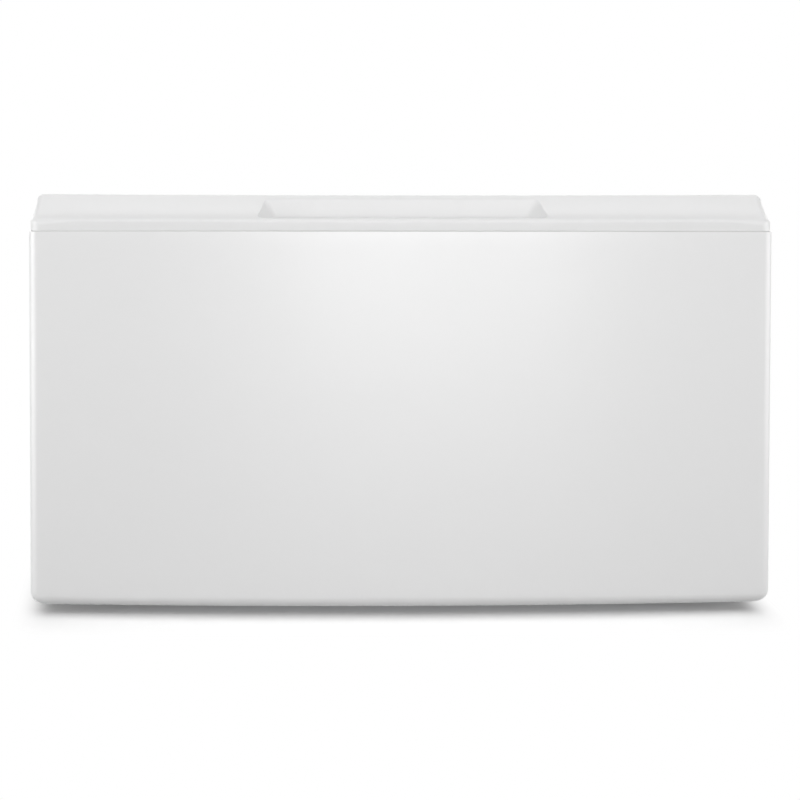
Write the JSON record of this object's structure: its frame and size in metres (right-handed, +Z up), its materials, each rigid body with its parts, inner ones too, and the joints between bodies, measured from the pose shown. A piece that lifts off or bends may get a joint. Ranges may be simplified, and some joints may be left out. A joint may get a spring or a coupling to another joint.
{
  "type": "washer pedestal drawer",
  "caption": "Low white laundry pedestal: steel cabinet on levelling feet, full-width bowed drawer front with a finger pocket in its sloping top trim, full-extension slides.",
  "frame": {"origin": "on the floor, under the middle of the overall box", "axes": "+X to the right seen from the front, +Y to the back, +Z up; the drawer opens along -Y"},
  "size_m": [0.686, 0.65, 0.39],
  "materials": {
    "enamel": "gloss white enamel",
    "white_plastic": "satin white moulded plastic",
    "zinc_steel": "galvanised sheet",
    "fastener_steel": "bright zinc plate",
    "cage_steel": "oiled strip steel",
    "ball_steel": "polished",
    "black_plastic": "fine-grained black plastic",
    "rubber": "matt dark grey rubber"
  },
  "bodies": {
    "cabinet": {"cabinet_side_left": "enamel", "cabinet_side_right": "enamel", "cabinet_back": "zinc_steel", "back_screws": "fastener_steel", "deck": "enamel", "deck_stiffener_left": "zinc_steel", "deck_stiffener_right": "zinc_steel", "front_top_rail": "zinc_steel", "front_bottom_rail": "zinc_steel", "rear_bottom_rail": "zinc_steel", "rail_screws": "fastener_steel", "drawer_bumpers": "rubber", "leg_brackets": "zinc_steel", "leg_nuts": "fastener_steel", "lock_nuts": "fastener_steel", "outer_member_left": "zinc_steel", "outer_member_right": "zinc_steel", "slide_bracket_left": "zinc_steel", "slide_bracket_right": "zinc_steel", "slide_screws_cabinet": "fastener_steel", "bracket_rivets": "fastener_steel"},
    "drawer": {"drawer_front_skin": "enamel", "drawer_front_trim": "white_plastic", "drawer_inner_front": "enamel", "drawer_side_left": "enamel", "drawer_side_right": "enamel", "drawer_bottom": "enamel", "drawer_back": "enamel", "drawer_divider": "white_plastic", "trim_screws": "fastener_steel", "front_panel_screws": "fastener_steel", "drawer_rivets": "fastener_steel", "slide_screws_drawer": "fastener_steel", "inner_member_left": "zinc_steel", "inner_member_right": "zinc_steel", "lever_pins": "fastener_steel"},
    "slide_middle_left": {"mid_member_left": "zinc_steel"},
    "outer_cage_run_left": {"outer_cage_left": "cage_steel", "outer_balls_left": "ball_steel"},
    "inner_cage_run_left": {"inner_cage_left": "cage_steel", "inner_balls_left": "ball_steel"},
    "slide_middle_right": {"mid_member_right": "zinc_steel"},
    "outer_cage_run_right": {"outer_cage_right": "cage_steel", "outer_balls_right": "ball_steel"},
    "inner_cage_run_right": {"inner_cage_right": "cage_steel", "inner_balls_right": "ball_steel"},
    "release_left": {"release_lever_left": "black_plastic"},
    "release_right": {"release_lever_right": "black_plastic"},
    "foot_front_left": {"levelling_foot_front_left": "fastener_steel", "foot_pad_front_left": "rubber"},
    "foot_front_right": {"levelling_foot_front_right": "fastener_steel", "foot_pad_front_right": "rubber"},
    "foot_rear_left": {"levelling_foot_rear_left": "fastener_steel", "foot_pad_rear_left": "rubber"},
    "foot_rear_right": {"levelling_foot_rear_right": "fastener_steel", "foot_pad_rear_right": "rubber"}
  },
  "joints": [
    {"name": "drawer_slide", "type": "slide", "parent": "cabinet", "child": "drawer", "axis": [0, -1, 0], "range_m": [0, 0.5]},
    {"name": "slide_middle_left_travel", "type": "slide", "parent": "cabinet", "child": "slide_middle_left", "axis": [0, -1, 0], "range_m": [0, 0.2505]},
    {"name": "outer_cage_run_left_travel", "type": "slide", "parent": "cabinet", "child": "outer_cage_run_left", "axis": [0, -1, 0], "range_m": [0, 0.1255]},
    {"name": "inner_cage_run_left_travel", "type": "slide", "parent": "cabinet", "child": "inner_cage_run_left", "axis": [0, -1, 0], "range_m": [0, 0.3755]},
    {"name": "slide_middle_right_travel", "type": "slide", "parent": "cabinet", "child": "slide_middle_right", "axis": [0, -1, 0], "range_m": [0, 0.2505]},
    {"name": "outer_cage_run_right_travel", "type": "slide", "parent": "cabinet", "child": "outer_cage_run_right", "axis": [0, -1, 0], "range_m": [0, 0.1255]},
    {"name": "inner_cage_run_right_travel", "type": "slide", "parent": "cabinet", "child": "inner_cage_run_right", "axis": [0, -1, 0], "range_m": [0, 0.3755]},
    {"name": "release_left_swing", "type": "hinge", "parent": "drawer", "child": "release_left", "pos_m": [-0.3118, 0.044, 0.13], "axis": [-1, 0, 0], "range_deg": [0, 8], "stiffness_Nm_per_rad": 0.05},
    {"name": "release_right_swing", "type": "hinge", "parent": "drawer", "child": "release_right", "pos_m": [0.3118, 0.044, 0.13], "axis": [1, 0, 0], "range_deg": [0, 8], "stiffness_Nm_per_rad": 0.05},
    {"name": "foot_front_left_screw", "type": "slide", "parent": "cabinet", "child": "foot_front_left", "axis": [0, 0, -1], "range_m": [0, 0.015]},
    {"name": "foot_front_right_screw", "type": "slide", "parent": "cabinet", "child": "foot_front_right", "axis": [0, 0, -1], "range_m": [0, 0.015]},
    {"name": "foot_rear_left_screw", "type": "slide", "parent": "cabinet", "child": "foot_rear_left", "axis": [0, 0, -1], "range_m": [0, 0.015]},
    {"name": "foot_rear_right_screw", "type": "slide", "parent": "cabinet", "child": "foot_rear_right", "axis": [0, 0, -1], "range_m": [0, 0.015]}
  ],
  "couplings": [
    {"joint": "slide_middle_left_travel", "follows": "drawer_slide", "ratio": 0.5},
    {"joint": "outer_cage_run_left_travel", "follows": "drawer_slide", "ratio": 0.25},
    {"joint": "inner_cage_run_left_travel", "follows": "drawer_slide", "ratio": 0.75},
    {"joint": "slide_middle_right_travel", "follows": "drawer_slide", "ratio": 0.5},
    {"joint": "outer_cage_run_right_travel", "follows": "drawer_slide", "ratio": 0.25},
    {"joint": "inner_cage_run_right_travel", "follows": "drawer_slide", "ratio": 0.75}
  ]
}
